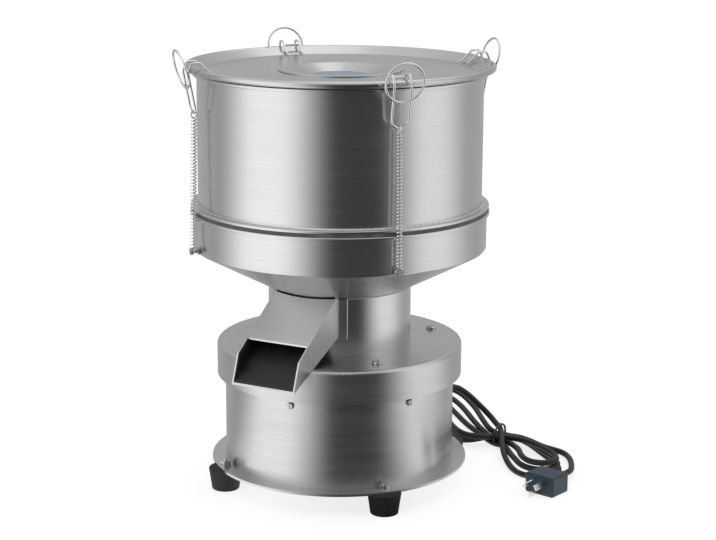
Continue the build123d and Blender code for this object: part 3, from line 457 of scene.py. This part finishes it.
def cord_points():
    points = [EXIT, *LEAD]
    for turn in range(TURNS):
        to_left = TO_LEFT[turn]
        to_right = TO_RIGHT[turn]
        points += hank_side(RIGHT_FIRST, RIGHT_LAST, turn, points[-1][2], to_left[2])
        points.append(to_left)
        points += hank_side(LEFT_FIRST, LEFT_LAST, turn, to_left[2], to_right[2])
        points.append(to_right)
    points += TAIL
    rear = Vector((-math.sin(math.radians(PLUG_TURN)), math.cos(math.radians(PLUG_TURN)), 0.0))
    points.append(PLUG_CENTRE + rear * (PLUG_REACH + PLUG_LEAD))
    points.append(PLUG_CENTRE + rear * PLUG_REACH)
    return points


def make_cord():
    cord = curve_piece("mains_cord", cord_points(), CORD_R, cord_sheath, resolution=10)
    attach(cord, "base")
    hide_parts("supply_cord", "cord_hank", "plug_tail", "cord_tie")
    tie = make_tie()


def make_tie():
    """Tie round the waist of the hank, as one closed band."""
    x, y = TIE
    profile = (
        (0.0, TIE_TOP + 0.002), (TIE_HALF, TIE_TOP - 0.001), (TIE_HALF + 0.002, TIE_SIDE),
        (TIE_HALF - 0.003, TIE_BOTTOM), (0.0, TIE_BOTTOM), (0.003 - TIE_HALF, TIE_BOTTOM),
        (-0.002 - TIE_HALF, TIE_SIDE), (-TIE_HALF, TIE_TOP - 0.001), (0.0, TIE_TOP + 0.002),
    )
    points = [(x, y + across, height) for across, height in profile]
    band = curve_piece("cord_twist_tie", points, TIE_WIRE, black_plastic)
    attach(band, "base")
    return band


def tube(name, points, radius, sides, material):
    """Mesh of round wire along a line of points."""
    corners = []
    faces = []
    normal = (points[1] - points[0]).orthogonal()
    for i, here in enumerate(points):
        tangent = (points[min(i + 1, len(points) - 1)] - points[max(i - 1, 0)]).normalized()
        normal = (normal - tangent * normal.dot(tangent)).normalized()
        side = tangent.cross(normal)
        for k in range(sides):
            angle = 2 * math.pi * k / sides
            corners.append(here + radius * (math.cos(angle) * normal + math.sin(angle) * side))
            if i:
                a = (i - 1) * sides + k
                b = (i - 1) * sides + (k + 1) % sides
                faces.append((a, b, b + sides, a + sides))
    faces.append(tuple(reversed(range(sides))))
    faces.append(tuple(range(len(corners) - sides, len(corners))))
    data = bpy.data.meshes.new(name)
    data.from_pydata(corners, [], faces)
    data.shade_smooth()
    data.materials.append(material)
    piece = bpy.data.objects.new(name, data)
    bpy.context.scene.collection.objects.link(piece)
    return piece


def make_springs():
    """Coil springs of the clips, with an eye round the stud and one round the hook."""
    up = Vector((0.0, 0.0, 1.0))
    for i, azimuth in enumerate(CLIP_AZIMUTHS, start=1):
        out = ring_point(1.0, azimuth, 0.0)
        side = ring_point(1.0, azimuth + 90.0, 0.0)
        low = STUD_R * out + STUD_EYE_Z * up
        high = HOOK_R * out + HOOK_EYE_Z * up
        start = low + EYE_R * up
        end = high - EYE_R * up
        points = []
        for k in range(EYE_STEPS + 1):
            angle = math.radians(STUD_EYE_START + EYE_TURN * k / EYE_STEPS)
            points.append(low + EYE_R * (math.cos(angle) * side + math.sin(angle) * up))
        steps = round((end - start).length / COIL_PITCH) * COIL_STEPS
        for k in range(steps + 1):
            angle = 2 * math.pi * k / COIL_STEPS
            away = math.cos(angle) * out + math.sin(angle) * side
            points.append(start.lerp(end, k / steps) + COIL_R * away)
        for k in range(EYE_STEPS + 1):
            angle = math.radians(HOOK_EYE_START + EYE_TURN * k / EYE_STEPS)
            points.append(high + EYE_R * (math.cos(angle) * out + math.sin(angle) * up))
        coil = tube(f"clip_{i}_coil", points, COIL_WIRE, COIL_SIDES, wire)
        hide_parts(f"clip_{i}_spring")
        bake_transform(coil)


def make_suspension():
    """Springs under the cap, on which it moves up and down."""
    up = Vector((0.0, 0.0, 1.0))
    steps = SUSPENSION_TURNS * SUSPENSION_STEPS
    for i, azimuth in enumerate(CLIP_AZIMUTHS, start=1):
        out = ring_point(1.0, azimuth, 0.0)
        side = ring_point(1.0, azimuth + 90.0, 0.0)
        low = SUSPENSION_CIRCLE * out + SUSPENSION_LOW * up
        high = SUSPENSION_CIRCLE * out + SUSPENSION_HIGH * up
        points = []
        for k in range(steps + 1):
            angle = 2 * math.pi * k / SUSPENSION_STEPS
            away = math.cos(angle) * out + math.sin(angle) * side
            points.append(low.lerp(high, k / steps) + SUSPENSION_R * away)
        coil = tube(f"suspension_coil_{i}", points, SUSPENSION_WIRE, SUSPENSION_SIDES, wire)
        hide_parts("suspension_springs")
        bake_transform(coil)

# Stage

def make_camera():
    data = bpy.data.cameras.new("camera")
    data.lens = LENS
    data.sensor_width = SENSOR_WIDTH
    data.clip_end = VIEW_REACH
    camera = bpy.data.objects.new("camera", data)
    bpy.context.scene.collection.objects.link(camera)
    turn = Matrix.Rotation(math.radians(CAMERA_TURN), 4, "Z")
    place = Matrix.Translation((0.0, -CAMERA_DISTANCE, CAMERA_HEIGHT))
    yaw = Matrix.Rotation(math.radians(-CAMERA_YAW), 4, "Z")
    pitch = Matrix.Rotation(math.radians(90.0 + CAMERA_PITCH), 4, "X")
    roll = Matrix.Rotation(math.radians(CAMERA_ROLL), 4, "Z")
    camera.matrix_world = turn @ place @ yaw @ pitch @ roll
    bpy.context.scene.camera = camera


def make_light():
    """Soft panel above and behind the object, facing it."""
    data = bpy.data.lights.new("panel_top", "AREA")
    data.shape = "RECTANGLE"
    data.size = PANEL_SIZE
    data.size_y = PANEL_SIZE
    data.energy = PANEL_LEVEL * math.pi * PANEL_SIZE * PANEL_SIZE
    lamp = bpy.data.objects.new("panel_top", data)
    bpy.context.scene.collection.objects.link(lamp)
    lamp.location = ring_point(PANEL_DISTANCE, camera_azimuth + PANEL_TURN, PANEL_HEIGHT)
    lamp.rotation_euler = (Vector((0, 0, PANEL_AIM)) - lamp.location).to_track_quat("-Z", "Y").to_euler()
    lamp.visible_camera = False


def studio(g, direction):
    """Brightness in a direction: a softbox at each side, dark behind the camera and a dim backdrop."""
    right = ring_point(1.0, camera_azimuth + 90.0, 0.0)
    front = ring_point(1.0, camera_azimuth, 0.0)
    across = g.node("ShaderNodeVectorMath", {0: direction, 1: right}, operation="DOT_PRODUCT").outputs["Value"]
    towards = g.node("ShaderNodeVectorMath", {0: direction, 1: front}, operation="DOT_PRODUCT").outputs["Value"]
    angle = g.math("MULTIPLY", g.math("ARCTAN2", across, towards), 180.0 / math.pi)
    level = g.fade(g.math("ABSOLUTE", angle), SIDE_END, BACK_START, DARK, DARK + BACKDROP)
    for middle, bright, faded, brightness in SOFTBOXES:
        away = g.math("ABSOLUTE", g.math("SUBTRACT", angle, middle))
        level = g.math("ADD", level, g.fade(away, bright, faded, brightness, 0.0))
    return level


def make_world():
    """White where the camera sees it, and elsewhere the studio."""
    world = bpy.data.worlds.new("studio")
    bpy.context.scene.world = world
    g = Graph("studio", world)
    direction = g.node("ShaderNodeTexCoord").outputs["Generated"]
    height = g.node("ShaderNodeSeparateXYZ", {0: direction}).outputs[2]
    above = g.spread(height, CEILING_START, CEILING_FULL)
    around = g.node("ShaderNodeMix", {"Factor": above, "A": studio(g, direction), "B": CEILING})
    seen = g.node("ShaderNodeLightPath").outputs["Is Camera Ray"]
    white = g.node("ShaderNodeMix", {"Factor": seen, "A": around.outputs["Result"], "B": 1.0})
    g.links.new(white.outputs["Result"], g.nodes["Background"].inputs["Color"])


def make_floor():
    """Floor that the camera sees white with the object's shadow, and in which metal sees the studio."""
    data = bpy.data.meshes.new("floor")
    corners = [(x * FLOOR_REACH, y * FLOOR_REACH, 0.0) for x, y in ((-1, -1), (1, -1), (1, 1), (-1, 1))]
    data.from_pydata(corners, [], [(0, 1, 2, 3)])
    floor = bpy.data.objects.new("floor", data)
    bpy.context.scene.collection.objects.link(floor)
    g = Graph("floor_white")
    place = g.node("ShaderNodeNewGeometry").outputs["Position"]
    path = g.node("ShaderNodeLightPath").outputs
    glow = g.node("ShaderNodeEmission", {"Color": grey(1.0), "Strength": FLOOR_GLOW})
    matt = g.node("ShaderNodeBsdfDiffuse", {"Color": grey(FLOOR_SHADED)})
    bright = g.node("ShaderNodeAddShader", {0: glow.outputs[0], 1: matt.outputs[0]})
    mirrored = g.node("ShaderNodeEmission", {"Color": grey(1.0), "Strength": studio(g, place)})
    plain = g.node("ShaderNodeBsdfDiffuse", {"Color": grey(FLOOR_TONE)})
    shiny = g.math("MAXIMUM", path["Is Glossy Ray"], path["Is Transmission Ray"])
    other = g.node("ShaderNodeMixShader", {0: shiny, 1: plain.outputs[0], 2: mirrored.outputs[0]})
    shown = g.node("ShaderNodeMixShader", {0: path["Is Camera Ray"], 1: other.outputs[0], 2: bright.outputs[0]})
    g.links.new(shown.outputs[0], g.nodes["Material Output"].inputs["Surface"])
    data.materials.append(g.material)


finish_nodes()
make_cord()
make_springs()
make_suspension()
make_camera()
make_world()
make_floor()
make_light()
bpy.context.scene.view_settings.view_transform = "Standard"
